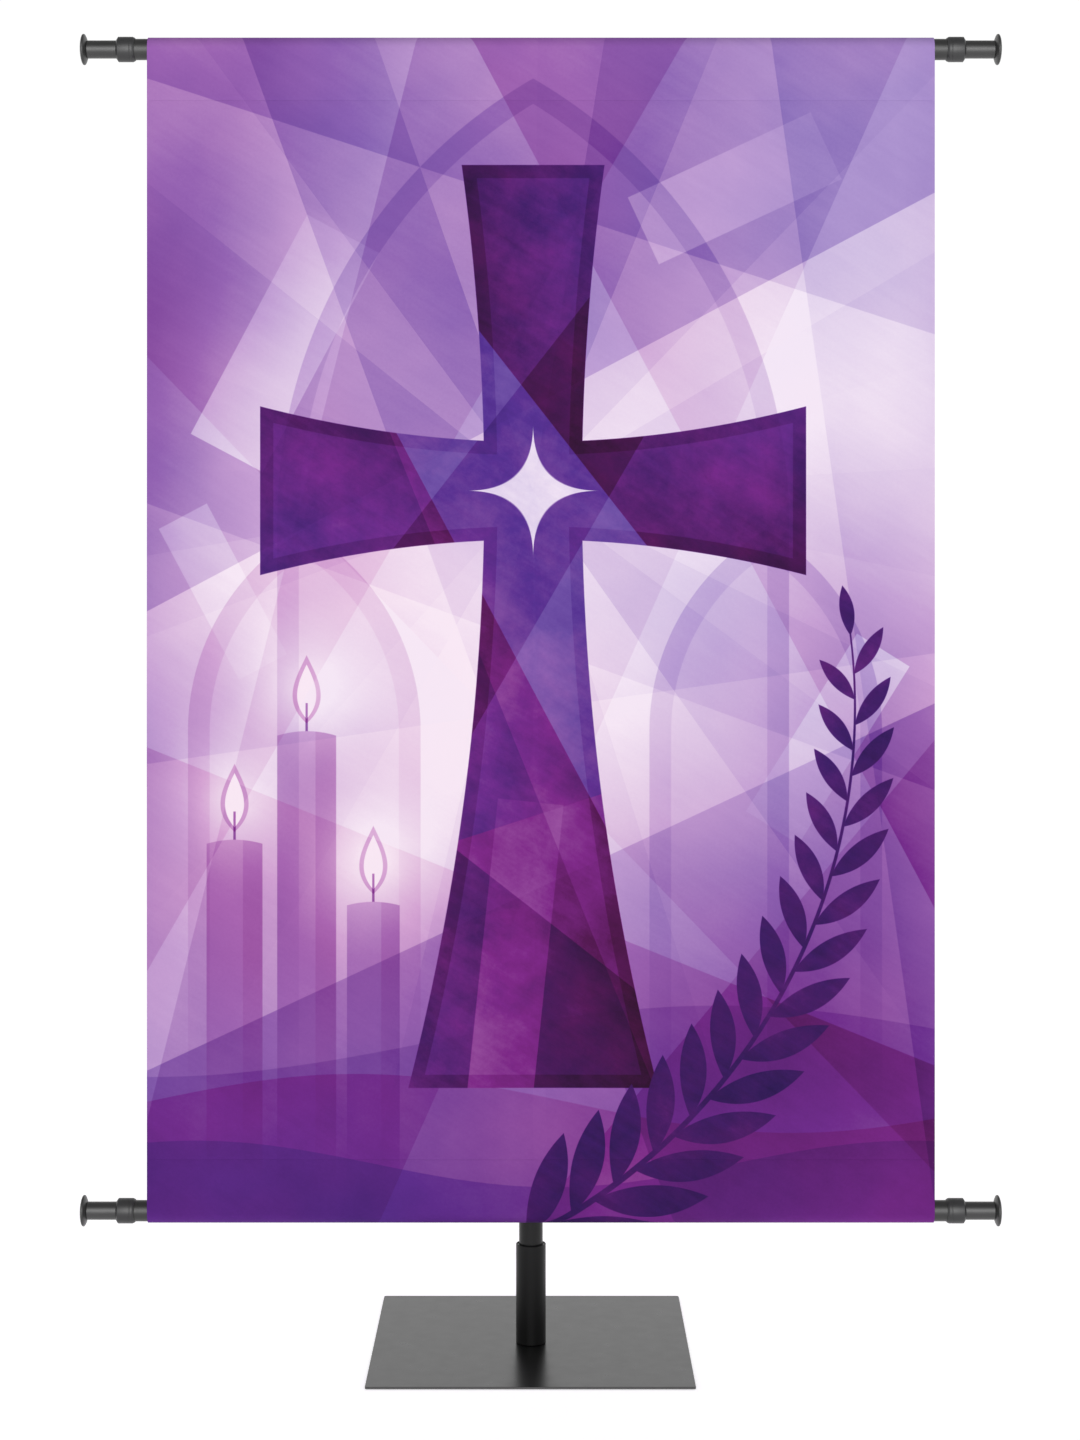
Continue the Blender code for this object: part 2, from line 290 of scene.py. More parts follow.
class Finish:
    """A new material, with its Principled shader and a place to start its patterns from."""

    def __init__(self, name, roughness):
        self.material = bpy.data.materials.new(name)
        self.material.use_nodes = True
        self.tree = self.material.node_tree
        self.shader = self.tree.nodes["Principled BSDF"]
        self.shader.inputs["Roughness"].default_value = roughness
        coordinates = self.tree.nodes.new("ShaderNodeTexCoord")
        self.place = Shade(self.tree, coordinates.outputs["Object"])

    def noise(self, scale, detail=3.0, place=None, roughness=0.5):
        sockets = {"Vector": place or self.place, "Scale": scale, "Detail": detail, "Roughness": roughness}
        return self.place.node("ShaderNodeTexNoise", sockets)

    def feed(self, socket, value):
        """Links a pattern to one of the shader's sockets, or sets a constant on it."""
        if isinstance(value, Shade):
            self.tree.links.new(value.socket, self.shader.inputs[socket])
        else:
            self.shader.inputs[socket].default_value = value

    def bump(self, height, distance, strength=1.0):
        sockets = {"Height": height, "Distance": distance, "Strength": strength}
        self.feed("Normal", self.place.node("ShaderNodeBump", sockets))

    def colour_mix(self, first, second, amount):
        sockets = {0: amount, 6: first, 7: second}
        return self.place.node("ShaderNodeMix", sockets, output=2, data_type="RGBA")


class Coat(NamedTuple):
    """A black finish: its colour, its gloss, and the scale and depth in millimetres of its surface grain."""

    colour: str
    specular: float
    roughness: float
    grain: float
    depth: float


COATS = {
    "powder_coat": Coat(colour="powder_coat", specular=0.45, roughness=0.29, grain=900.0, depth=0.02),
    "bar_coat": Coat(colour="bar_coat", specular=0.58, roughness=0.35, grain=1100.0, depth=0.015),
    "extension_coat": Coat(colour="bar_coat", specular=0.72, roughness=0.34, grain=1100.0, depth=0.015),
    "mast_coat": Coat(colour="mast_coat", specular=0.30, roughness=0.36, grain=1100.0, depth=0.02),
    "sleeve_coat": Coat(colour="sleeve_coat", specular=0.23, roughness=0.36, grain=1100.0, depth=0.02),
    "moulded_plastic": Coat(colour="moulding", specular=0.50, roughness=0.39, grain=2400.0, depth=0.02),
    "cap_rubber": Coat(colour="cap", specular=0.56, roughness=0.38, grain=1500.0, depth=0.02),
}
CLOUD_SCALE = 16.0
CLOUD_GAIN = 1.5
GLOSS_SCALE = 48.0
GLOSS_SPREAD = 0.08
GRAIN_STRENGTH = 0.3
# The band below the plate's top where its colour turns from the top's coat to the painted light of its
# sides.
SIDE_LIGHT_START = 0.4 * MM
SIDE_LIGHT_END = 0.2 * MM


def painted_side_light(black, colour):
    """The plate's colour, painted paler on its sides than on top: painted light that stands in for the
    brightness of its front edge.
    """
    height = black.place.node("ShaderNodeSeparateXYZ", {0: black.place}, output=2)
    on_top = height.between(PLATE_TOP - SIDE_LIGHT_START, PLATE_TOP - SIDE_LIGHT_END)
    return black.colour_mix((*colours().plate_side_light, 1.0), colour, on_top)


def black_finish(name):
    """A black finish with cloudy colour, a slightly uneven gloss and a fine surface grain."""
    coat = COATS[name]
    black = Finish(name, coat.roughness)
    base = getattr(colours(), coat.colour)
    lighter = [CLOUD_GAIN * part for part in base]
    clouds = black.noise(CLOUD_SCALE, detail=4.0).between(0.35, 0.75)
    colour = black.colour_mix((*base, 1.0), (*lighter, 1.0), clouds)
    # The plate gets painted light: its sides are coloured paler than its top.
    if name == "powder_coat":
        colour = painted_side_light(black, colour)
    black.feed("Base Color", colour)
    gloss = GLOSS_SPREAD * black.noise(GLOSS_SCALE, detail=4.0)
    black.feed("Roughness", coat.roughness - GLOSS_SPREAD / 2 + gloss)
    black.feed("Specular IOR Level", coat.specular)
    black.bump(black.noise(coat.grain, detail=2.0), coat.depth * MM, GRAIN_STRENGTH)
    return black.material


def finish_named(name, maker=black_finish):
    return bpy.data.materials.get(name) or maker(name)


# The print. Distances are in metres from the middle of the cloth, and tones run from 0, dark, to 1, pale.
PRINT_EDGE = 0.5 * MM


class Facet(NamedTuple):
    """A straight edge, its normal in degrees. It tints the side it faces, less and less until it fades."""

    angle: float
    offset: float
    fade: float
    tone: float
    warmth: float


class Pane(NamedTuple):
    """A narrow oblong of light, brightest at the end its angle points to."""

    across: float
    up: float
    angle: float
    length: float
    width: float
    tone: float
    warmth: float


class Lancet(NamedTuple):
    """A pointed window: straight sides up to its spring line, and two arcs above."""

    middle: float
    half_width: float
    spring: float
    warmth: float


class Candle(NamedTuple):
    """A candle, from the foot of the print to its top."""

    middle: float
    top: float
    half_width: float
    warmth: float


class Hill(NamedTuple):
    """A low wave of land: its mean height, its swell, and how often and where it swells."""

    base: float
    swell: float
    rate: float
    shift: float
    gain: float
    warmth: float


GROUND_FACETS = (
    Facet(angle=118, offset=0.26, fade=0.55, tone=-0.17, warmth=-0.22),
    Facet(angle=200, offset=0.10, fade=0.36, tone=0.10, warmth=0.14),
    Facet(angle=28, offset=0.28, fade=0.32, tone=-0.13, warmth=0.20),
    Facet(angle=-24, offset=0.12, fade=0.40, tone=0.08, warmth=-0.10),
    Facet(angle=-65, offset=0.30, fade=0.46, tone=-0.16, warmth=-0.12),
    Facet(angle=-112, offset=0.33, fade=0.40, tone=-0.12, warmth=0.26),
    Facet(angle=150, offset=0.22, fade=0.24, tone=-0.10, warmth=0.16),
    Facet(angle=72, offset=0.52, fade=0.26, tone=-0.10, warmth=-0.12),
    Facet(angle=8, offset=0.40, fade=0.14, tone=-0.08, warmth=-0.14),
    Facet(angle=250, offset=0.02, fade=0.22, tone=0.07, warmth=0.08),
    Facet(angle=44, offset=-0.12, fade=0.18, tone=-0.07, warmth=0.12),
    Facet(angle=-40, offset=0.48, fade=0.30, tone=-0.10, warmth=0.12),
    Facet(angle=166, offset=0.34, fade=0.20, tone=0.10, warmth=-0.06),
    Facet(angle=98, offset=-0.10, fade=0.16, tone=-0.06, warmth=-0.10),
)
GROUND_PANES = (
    Pane(across=-0.33, up=0.37, angle=242, length=0.32, width=0.105, tone=0.22, warmth=-0.10),
    Pane(across=0.37, up=-0.14, angle=58, length=0.27, width=0.080, tone=0.20, warmth=-0.25),
    Pane(across=0.25, up=0.57, angle=205, length=0.26, width=0.095, tone=0.15, warmth=0.05),
    Pane(across=-0.41, up=0.05, angle=118, length=0.22, width=0.070, tone=0.13, warmth=-0.12),
)
LANCETS = (
    Lancet(middle=-0.305, half_width=0.150, spring=-0.13, warmth=0.12),
    Lancet(middle=0.290, half_width=0.150, spring=-0.13, warmth=-0.12),
    Lancet(middle=-0.010, half_width=0.330, spring=0.140, warmth=-0.10),
)
LANCET_INSET = 0.028
LANCET_GAIN = 0.84
PANE_LIFT = 0.065
UPPER_GLOW = (0.30, 0.30)
LOWER_GLOW = (-0.22, -0.14)
FAN_RAYS = 24
FAN_SHIFT = 3.3
CANDLES = (
    Candle(middle=-0.395, top=-0.270, half_width=0.036, warmth=0.20),
    Candle(middle=-0.302, top=-0.130, half_width=0.038, warmth=0.08),
    Candle(middle=-0.216, top=-0.350, half_width=0.034, warmth=-0.10),
)
FLAME_HEIGHT = 0.088
FLAME_HALF_WIDTH = 0.0175
FLAME_RIM = 0.006
WICK_LENGTH = 0.010
WICK_HALF_WIDTH = 0.0016
CANDLE_GAIN = 0.74
CANDLE_SHADE_GAIN = 0.88
CANDLE_CROWN = 4.0
HALO_RADIUS = 0.150
HALO_LIFT = 0.34
HILLS = (
    Hill(base=-0.530, swell=0.046, rate=4.3, shift=0.6, gain=0.84, warmth=-0.06),
    Hill(base=-0.610, swell=0.038, rate=5.6, shift=2.9, gain=0.80, warmth=0.28),
    Hill(base=-0.688, swell=0.030, rate=6.8, shift=4.6, gain=0.82, warmth=-0.22),
)
CROSS_MIDDLE = (-0.010, 0.180)
CROSS_HALF_WIDTH = 0.063
CROSS_TOP = 0.600
CROSS_FOOT = -0.590
CROSS_ARM = 0.352
CROSS_UPRIGHT_FLARE = 0.165
CROSS_ARM_FLARE = 0.37
CROSS_BORDER = 0.017
CROSS_TONE = 0.145
CROSS_SHOWS_THROUGH = 0.11
CROSS_PANEL_LIFT = 0.062
CROSS_FACETS = (
    Facet(angle=38, offset=0.175, fade=0.50, tone=-0.20, warmth=0.72),
    Facet(angle=208, offset=0.045, fade=0.46, tone=-0.15, warmth=0.60),
    Facet(angle=-30, offset=-0.010, fade=0.30, tone=0.10, warmth=-0.15),
    Facet(angle=142, offset=0.215, fade=0.32, tone=0.10, warmth=-0.15),
    Facet(angle=-72, offset=0.225, fade=0.50, tone=0.03, warmth=0.62),
    Facet(angle=-128, offset=0.290, fade=0.34, tone=-0.10, warmth=-0.45),
    Facet(angle=22, offset=-0.085, fade=0.10, tone=0.06, warmth=0.22),
)
CROSS_PANE = Pane(across=-0.035, up=-0.430, angle=264, length=0.42, width=0.085, tone=0.16, warmth=0.50)
STAR_REACH = 0.085
STAR_LIFT = 0.62
SPRAY_CENTRE = (-0.36, -0.10)
SPRAY_RADIUS = 0.765
SPRAY_START = math.radians(-61)
SPRAY_END = math.radians(7)
LEAF_PITCH = 0.066
LEAF_LENGTH = 0.150
LEAF_HALF_WIDTH = 0.021
LEAF_ANGLE = math.radians(38)
LEAF_TAPER = 0.62
STEM_HALF_WIDTH = 0.0042
BACK_TONE = 0.56
BACK_SHOWS_THROUGH = 0.40
WEAVE_DEPTH = 0.03 * MM
WEAVE_STRENGTH = 0.25
STEM_TAPER = 0.0034
SPRAY_TONE = 0.10
SPRAY_SHOWS_THROUGH = 0.07


class Print:
    """The print's tone and warmth, as its shapes are laid over one another."""

    def __init__(self, finish, across, up):
        self.finish = finish
        self.across = across
        self.up = up
        self.tone = None
        self.warmth = None
        self.mottle = finish.noise(8.0, detail=9.0, roughness=0.66)
        self.strokes = self.brush(32, 9.0, 95.0)

    def brush(self, angle, along, over):
        """Streaks of a dry brush in one direction, between 0 and 1."""
        place = self.finish.place
        sockets = {"Vector": place, "Angle": math.radians(angle)}
        turned = place.node("ShaderNodeVectorRotate", sockets, rotation_type="Z_AXIS")
        drawn = place.node("ShaderNodeVectorMath", {0: turned, 1: (along, over, 1.0)}, operation="MULTIPLY")
        return self.finish.noise(1.0, detail=5.0, place=drawn, roughness=0.6)

    def mask(self, inside):
        """1 inside a shape and 0 outside, from the distance to its edge, which is positive within it."""
        return inside.between(-PRINT_EDGE, PRINT_EDGE)

    def lay(self, inside, gain=1.0, lift=0.0, warmth=0.0, strength=None):
        """Lays a translucent shape over the print."""
        mask = self.mask(inside)
        if strength is not None:
            mask = mask * strength
        self.tone = self.tone.towards(self.tone * gain + lift, mask)
        if warmth:
            self.warmth += mask * warmth

    def add(self, mask, shape, within):
        """Adds a shape's tone and warmth where its mask is, within another shape if one is given."""
        if within:
            mask = mask * within
        self.tone += mask * shape.tone
        self.warmth += mask * shape.warmth

    def beyond(self, angle, offset):
        """Distance past a straight line whose normal points to an angle in degrees."""
        turn = math.radians(angle)
        return self.across * math.cos(turn) + self.up * math.sin(turn) - offset

    def tint(self, facet, within=None):
        past = self.beyond(facet.angle, facet.offset)
        self.add(self.mask(past) * past.between(facet.fade, 0.0), facet, within)

    def light(self, pane, within=None):
        turn = math.radians(pane.angle)
        centre = pane.across * math.cos(turn) + pane.up * math.sin(turn)
        side = pane.up * math.cos(turn) - pane.across * math.sin(turn)
        along = self.beyond(pane.angle, centre)
        aside = self.beyond(pane.angle + 90, side)
        inside = (pane.length / 2 - abs(along)).smaller(pane.width / 2 - abs(aside))
        mask = self.mask(inside) * along.between(-0.8 * pane.length, 0.5 * pane.length)
        self.add(mask, pane, within)

    def rays(self, across, up, count, shift):
        """A random value for each ray of a fan round a point. The fan is closed straight below the point."""
        angle = (self.across - across).math("ARCTAN2", self.up - up)
        place = self.finish.place
        sockets = {"W": angle * (count / TURN) + shift, "Scale": 1.0}
        pattern = place.node("ShaderNodeTexVoronoi", sockets, output=1, voronoi_dimensions="1D")
        return place.node("ShaderNodeSeparateColor", {0: pattern})

    def reach(self, across, up):
        """Distance from a point."""
        return ((self.across - across).squared() + (self.up - up).squared()).math("SQRT")


def lay_ground(art):
    """The pale ground: two soft glows, straight facets that fade, panes of light and a fan of rays."""
    finish = art.finish
    clouds = finish.noise(2.6, detail=4.0)
    upper_glow = art.reach(*UPPER_GLOW).between(0.80, 0.05)
    lower_glow = art.reach(*LOWER_GLOW).between(0.62, 0.05)
    art.tone = 0.48 + 0.50 * upper_glow + 0.42 * lower_glow + 0.30 * (clouds - 0.5)
    art.warmth = 0.46 - 0.30 * art.up * art.across + 0.9 * (clouds - 0.5) + 0.22 * lower_glow
    for facet in GROUND_FACETS:
        art.tint(facet)
    for pane in GROUND_PANES:
        art.light(pane)
    fan = art.rays(*CROSS_MIDDLE, FAN_RAYS, FAN_SHIFT)
    fading = art.reach(*CROSS_MIDDLE).between(0.90, 0.16)
    art.tone += (fan - 0.45) * fading * 0.17
    art.warmth += (fan - 0.5) * fading * 0.20
    art.tone += 0.05 * (art.strokes - 0.5)


def lancet_distance(art, lancet, inset):
    """Distance into a pointed window, or into the pane that its inset leaves."""
    across = abs(art.across - lancet.middle) + lancet.half_width
    rise = (art.up - lancet.spring).larger(0.0)
    return 2 * lancet.half_width - inset - (across.squared() + rise.squared()).math("SQRT")


def lay_lancets(art):
    """Three tall pointed windows behind the cross, each with a pane in its frame, fading to the hills."""
    fading = art.up.between(-0.62, -0.20)
    for lancet in LANCETS:
        art.lay(lancet_distance(art, lancet, 0.0), gain=LANCET_GAIN, warmth=lancet.warmth, strength=fading)
        pane = lancet_distance(art, lancet, LANCET_INSET)
        art.lay(pane, lift=PANE_LIFT, warmth=-lancet.warmth / 2, strength=fading)


def lay_candles(art):
    """Three candles of different heights on the left, with their wicks, flames and halos."""
    rising = art.up.between(-0.72, -0.42)
    for candle in CANDLES:
        aside = art.across - candle.middle
        below = candle.top - art.up
        body = (candle.half_width - abs(aside)).smaller(below - CANDLE_CROWN * aside.squared())
        art.lay(body, gain=CANDLE_GAIN, warmth=candle.warmth, strength=rising)
        shaded = body.smaller(aside - 0.3 * candle.half_width)
        art.lay(shaded, gain=CANDLE_SHADE_GAIN, warmth=0.10, strength=rising)
        middle = candle.top + WICK_LENGTH + FLAME_HEIGHT / 2
        halo = art.reach(candle.middle, middle).between(HALO_RADIUS, 0.0)
        art.tone += HALO_LIFT * halo.squared()
        wick_foot = below + WICK_LENGTH + 0.3 * FLAME_HEIGHT
        wick = (WICK_HALF_WIDTH - abs(aside)).smaller(wick_foot).smaller(0.0 - below)
        height = (art.up - candle.top - WICK_LENGTH) / FLAME_HEIGHT
        lens = 1.0 - (2.0 * height - 1.0).squared()
        flame = lens * (1.40 - 0.80 * height).larger(0.1) * FLAME_HALF_WIDTH - abs(aside)
        art.lay(flame, gain=0.62, lift=0.10, warmth=0.40)
        art.lay(flame - FLAME_RIM, lift=0.45, warmth=-0.20)
        art.lay(wick, gain=0.45)


def cross_distance(art):
    """Distance into the cross, whose arms widen to their ends."""
    across = abs(art.across - CROSS_MIDDLE[0])
    above = art.up - CROSS_MIDDLE[1]
    height = CROSS_TOP - CROSS_MIDDLE[1]
    upright_width = CROSS_HALF_WIDTH + CROSS_UPRIGHT_FLARE * above.squared() - across
    upright = upright_width.smaller((art.up - CROSS_FOOT).smaller(height - above))
    arm_width = CROSS_HALF_WIDTH + CROSS_ARM_FLARE * across.squared() - abs(above)
    arms = arm_width.smaller(CROSS_ARM - across)
    return upright.larger(arms)


def lay_cross(art):
    """The cross: a dark border, a panel with straight facets, and a small star where its arms meet."""
    inside = cross_distance(art)
    mask = art.mask(inside)
    texture = 0.36 * (art.mottle - 0.5) + 0.08 * (art.strokes - 0.5)
    art.tone = art.tone.towards(CROSS_TONE + CROSS_SHOWS_THROUGH * art.tone + texture, mask)
    art.warmth = art.warmth.towards(0.24 - 0.30 * art.up + 1.5 * (art.mottle - 0.5), mask)
    for facet in CROSS_FACETS:
        art.tint(facet, mask)
    art.light(CROSS_PANE, mask)
    art.lay(inside - CROSS_BORDER, lift=CROSS_PANEL_LIFT, warmth=-0.06)
    points = abs(art.across - CROSS_MIDDLE[0]).math("SQRT") + abs(art.up - CROSS_MIDDLE[1]).math("SQRT")
    art.lay((math.sqrt(STAR_REACH) - points) * 0.1, lift=STAR_LIFT, warmth=0.10)


def lay_hills(art):
    """Three low hills along the foot of the print."""
    for hill in HILLS:
        crest = (art.across * hill.rate + hill.shift).math("SINE") * hill.swell + hill.base
        art.lay(crest - art.up, gain=hill.gain, warmth=hill.warmth)
    art.tone += 0.12 * (art.mottle - 0.5) * art.up.between(-0.40, -0.66)


def leaf_distance(forward, aside, size):
    """Distance into one leaf, from its root to its tip."""
    middle = forward / (size * LEAF_LENGTH) * 2.0 - 1.0
    return (1.0 - middle.squared()) * size * LEAF_HALF_WIDTH - abs(aside)


def leaf_side(art, along, away, length):
    """Distance into the leaves of one side of the spray, from the three nearest roots on its stem."""
    nearest = None
    place = (along / LEAF_PITCH).math("FLOOR")
    for step in range(3):
        root = (place - step) * LEAF_PITCH
        forward = (along - root) * math.cos(LEAF_ANGLE) + away * math.sin(LEAF_ANGLE)
        aside = away * math.cos(LEAF_ANGLE) - (along - root) * math.sin(LEAF_ANGLE)
        leaf = leaf_distance(forward, aside, 1.0 - LEAF_TAPER * root)
        leaf = leaf.smaller(root + 0.5 * LEAF_PITCH).smaller(length - root)
        nearest = nearest.larger(leaf) if nearest else leaf
    return nearest.smaller(away + 0.001)


def lay_spray(art):
    """A leafy spray that curves up the right side, with leaves to each side of its stem and at its tip."""
    angle = (art.up - SPRAY_CENTRE[1]).math("ARCTAN2", art.across - SPRAY_CENTRE[0])
    along = (angle - SPRAY_START) * SPRAY_RADIUS
    away = art.reach(*SPRAY_CENTRE) - SPRAY_RADIUS
    length = (SPRAY_END - SPRAY_START) * SPRAY_RADIUS
    stem = (STEM_HALF_WIDTH - along * STEM_TAPER - abs(away)).smaller(length + 0.01 - along)
    outer = leaf_side(art, along, away, length)
    inner = leaf_side(art, along + LEAF_PITCH / 2, 0.0 - away, length)
    tip = leaf_distance(along - length, away, 1.0 - LEAF_TAPER * length)
    mask = art.mask(outer.larger(inner).larger(stem).larger(tip))
    texture = 0.32 * (art.mottle - 0.5) + 0.10 * (art.strokes - 0.5)
    art.tone = art.tone.towards(SPRAY_TONE + SPRAY_SHOWS_THROUGH * art.tone + texture, mask)
    art.warmth = art.warmth.towards(0.34 + 1.6 * (art.mottle - 0.5), mask)


def print_colour(art):
    """The print's tone and warmth as a colour."""
    levels = {"black": 0.0, "dark": 0.14, "deep": 0.28, "middle": 0.48, "light": 0.70, "pale": 1.0}
    ramps = []
    for side in ("cool", "warm"):
        stops = [(position, getattr(colours(), f"{side}_{level}")) for level, position in levels.items()]
        ramps.append(art.finish.place.node("ShaderNodeValToRGB", {0: art.tone}, stops=stops))
    return art.finish.colour_mix(*ramps, art.warmth.between(0.0, 1.0))


def woven_print(name):
    """Woven polyester with a dye-printed front. The print shows through to the back, paler."""
    cloth = Finish(name, 0.8)
    flat = cloth.place.node("ShaderNodeUVMap", {}, uv_map="cloth")
    across = cloth.place.node("ShaderNodeSeparateXYZ", {0: flat})
    up = cloth.place.node("ShaderNodeSeparateXYZ", {0: flat}, output=1)
    cloth.place = flat
    art = Print(cloth, across, up)
    lay_ground(art)
    lay_lancets(art)
    lay_candles(art)
    lay_hills(art)
    lay_cross(art)
    lay_spray(art)
    art.tone += 0.045 * (cloth.noise(240.0, detail=4.0, roughness=0.7) - 0.5)
    back = cloth.place.node("ShaderNodeAttribute", {}, output="Fac", attribute_name="back")
    art.tone = art.tone.towards(BACK_TONE + BACK_SHOWS_THROUGH * art.tone, back)
    cloth.feed("Base Color", print_colour(art))
    rate = TURN / sizes().weave_pitch
    weave = (across * rate).math("SINE") * (up * rate).math("SINE")
    cloth.feed("Roughness", 0.76 + 0.06 * cloth.noise(60.0))
    cloth.feed("Specular IOR Level", 0.12)
    cloth.feed("Sheen Weight", 0.03)
    cloth.bump(weave, WEAVE_DEPTH, WEAVE_STRENGTH)
    return cloth.material


def white_floor(name):
    floor = Finish(name, 0.9)
    floor.feed("Specular IOR Level", 0.0)
    floor.feed("Base Color", (FLOOR_GREY, FLOOR_GREY, FLOOR_GREY, 1.0))
    floor.feed("Emission Color", (1.0, 1.0, 1.0, 1.0))
    floor.feed("Emission Strength", FLOOR_GLOW)
    return floor.material


def link_object(name, mesh, material=None):
    piece = bpy.data.objects.new(name, mesh)
    bpy.context.scene.collection.objects.link(piece)
    if material:
        mesh.materials.append(material)
    return piece


def smooth(mesh, sharp=SHARP_ANGLE):
    mesh.shade_smooth()
    mesh.set_sharp_from_angle(angle=sharp)


def turned_piece(name, outline, place, material, closed):
    """Turned about +Z from (radius, height) pairs. An outline that isn't closed meets the axis."""
    bm = bmesh.new()
    points = [bm.verts.new((radius, 0, height)) for radius, height in outline]
    pairs = list(zip(points, points[1:]))
    if closed:
        pairs.append((points[-1], points[0]))
    edges = [bm.edges.new(pair) for pair in pairs]
    turning = {"axis": (0, 0, 1), "cent": (0, 0, 0), "angle": TURN, "steps": sizes().sides}
    bmesh.ops.spin(bm, geom=points + edges, use_merge=True, **turning)
    bmesh.ops.remove_doubles(bm, verts=bm.verts, dist=MERGE_DISTANCE)
    bmesh.ops.recalc_face_normals(bm, faces=bm.faces)
    bmesh.ops.transform(bm, matrix=place, verts=bm.verts)
    mesh = bpy.data.meshes.new(name)
    bm.to_mesh(mesh)
    bm.free()
    smooth(mesh)
    return link_object(name, mesh, material)


def rounded_tube(radius, wall, start, end, chamfer):
    """The section of a tube whose outer edges are broken by a small chamfer."""
    inside = radius - wall
    return [
        (inside, start),
        (radius - chamfer, start),
        (radius, start + chamfer),
        (radius, end - chamfer),
        (radius - chamfer, end),
        (inside, end),
    ]


def softened(outline, size):
    """Rounds each corner of a closed outline with three points, up to a third of the way along its sides."""
    made = []
    for index, corner in enumerate(outline):
        here = Vector(corner)
        back = Vector(outline[index - 1]) - here
        ahead = Vector(outline[(index + 1) % len(outline)]) - here
        size_here = min(size, back.length / 3, ahead.length / 3)
        start = here + back.normalized() * size_here
        end = here + ahead.normalized() * size_here
        middle = (start + 2 * here + end) / 4
        made += [tuple(start), tuple(middle), tuple(end)]
    return made


def fittings():
    """The collection of the pieces that the fittings' own softbox lights."""
    return bpy.data.collections.get("fittings") or bpy.data.collections.new("fittings")


def dress(piece, node, body):
    """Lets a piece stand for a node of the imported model."""
    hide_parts(node)
    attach(piece, body)
    if node not in ("banner_cloth", "mast_tube", "lower_tube"):
        fittings().objects.link(piece)


def fit_turned(name, node, body, finish, outline, place=Matrix(), closed=True):
    """Turns a piece in its finish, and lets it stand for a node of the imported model."""
    piece = turned_piece(name, outline, place, finish_named(finish), closed)
    dress(piece, node, body)


def bar_end(row, side):
    """Turns and moves a piece made along +Z to the cloth's edge on a bar, pointing outwards."""
    out = {"left": -1, "right": 1}[side]
    edge = Vector((CLOTH_MIDDLE + out * CLOTH_WIDTH / 2, BAR_Y, BAR_HEIGHTS[row]))
    return Matrix.Translation(edge) @ Matrix.Rotation(out * QUARTER_TURN, 4, "Y")


def each_end():
    return [(row, side) for row in ("top", "bottom") for side in ("left", "right")]


def quarter(steps):
    """Angles from 0 to a right angle."""
    return [QUARTER_TURN * step / steps for step in range(steps + 1)]


class BANNER_OT_base(bpy.types.Operator):
    """Finishes the base plate and builds the lower tube and its bush"""

    bl_idname = "banner.base"
    bl_label = "Base"

    def execute(self, context):
        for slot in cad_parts["base_plate"].material_slots:
            slot.material = finish_named("powder_coat")
        tube = rounded_tube(SLEEVE_RADIUS, SLEEVE_WALL, SLEEVE_LOW[2], SLEEVE_HIGH[2], SLEEVE_CHAMFER)
        fit_turned("lower_tube_coated", "lower_tube", "base", "sleeve_coat", tube)
        wall = BUSH_RADIUS - (MAST_RADIUS + FIT_GAP)
        ring = rounded_tube(BUSH_RADIUS, wall, BUSH_LOW[2], BUSH_HIGH[2], BUSH_CHAMFER)
        fit_turned("bush_moulded", "bush", "turning_bush", "moulded_plastic", ring)
        return {"FINISHED"}


def mast_cap_outline():
    """Half of the mast cap's section: the stem, a short lip and a low crown."""
    stem = MAST_RADIUS - MAST_WALL - FIT_GAP
    foot = MAST_HIGH[2] + FIT_GAP
    inner_end = foot - MAST_CAP_STEM
    outline = [(0, inner_end), (stem, inner_end), (stem, foot), (MAST_RADIUS, foot)]
    for angle in quarter(MAST_CAP_STEPS)[:-1]:
        rise = MAST_CAP_LIP + (MAST_CAP_CROWN - MAST_CAP_LIP) * math.sin(angle)
        outline.append((MAST_RADIUS * math.cos(angle), foot + rise))
    return [*outline, (0, foot + MAST_CAP_CROWN)]


class BANNER_OT_mast(bpy.types.Operator):
    """Builds the mast and its cap"""

    bl_idname = "banner.mast"
    bl_label = "Mast"

    def execute(self, context):
        tube = rounded_tube(MAST_RADIUS, MAST_WALL, MAST_LOW[2], MAST_HIGH[2], MAST_CHAMFER)
        fit_turned("mast_coated", "mast_tube", "mast", "mast_coat", tube)
        cap = mast_cap_outline()
        fit_turned("mast_cap_moulded", "mast_cap", "mast", "moulded_plastic", cap, closed=False)
        return {"FINISHED"}


class BANNER_OT_clips(bpy.types.Operator):
    """Softens the edges of both clips"""

    bl_idname = "banner.clips"
    bl_label = "Clips"

    def execute(self, context):
        for node in ("top_clip", "bottom_clip"):
            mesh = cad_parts[node].data.copy()
            mesh.materials.clear()
            bm = bmesh.new()
            bm.from_mesh(mesh)
            bmesh.ops.remove_doubles(bm, verts=bm.verts, dist=CLIP_MERGE_DISTANCE)
            bmesh.ops.dissolve_limit(bm, angle_limit=FLAT_ANGLE, verts=bm.verts, edges=bm.edges)
            bm.to_mesh(mesh)
            bm.free()
            clip = link_object(f"{node}_moulded", mesh, finish_named("moulded_plastic"))
            rounding = clip.modifiers.new("Rounded edges", "BEVEL")
            rounding.width = sizes().edge_round
            rounding.segments = BEVEL_STEPS
            rounding.limit_method = "ANGLE"
            rounding.angle_limit = BEVEL_ANGLE
            smooth(made_plain(clip))
            dress(clip, node, "mast")
        return {"FINISHED"}


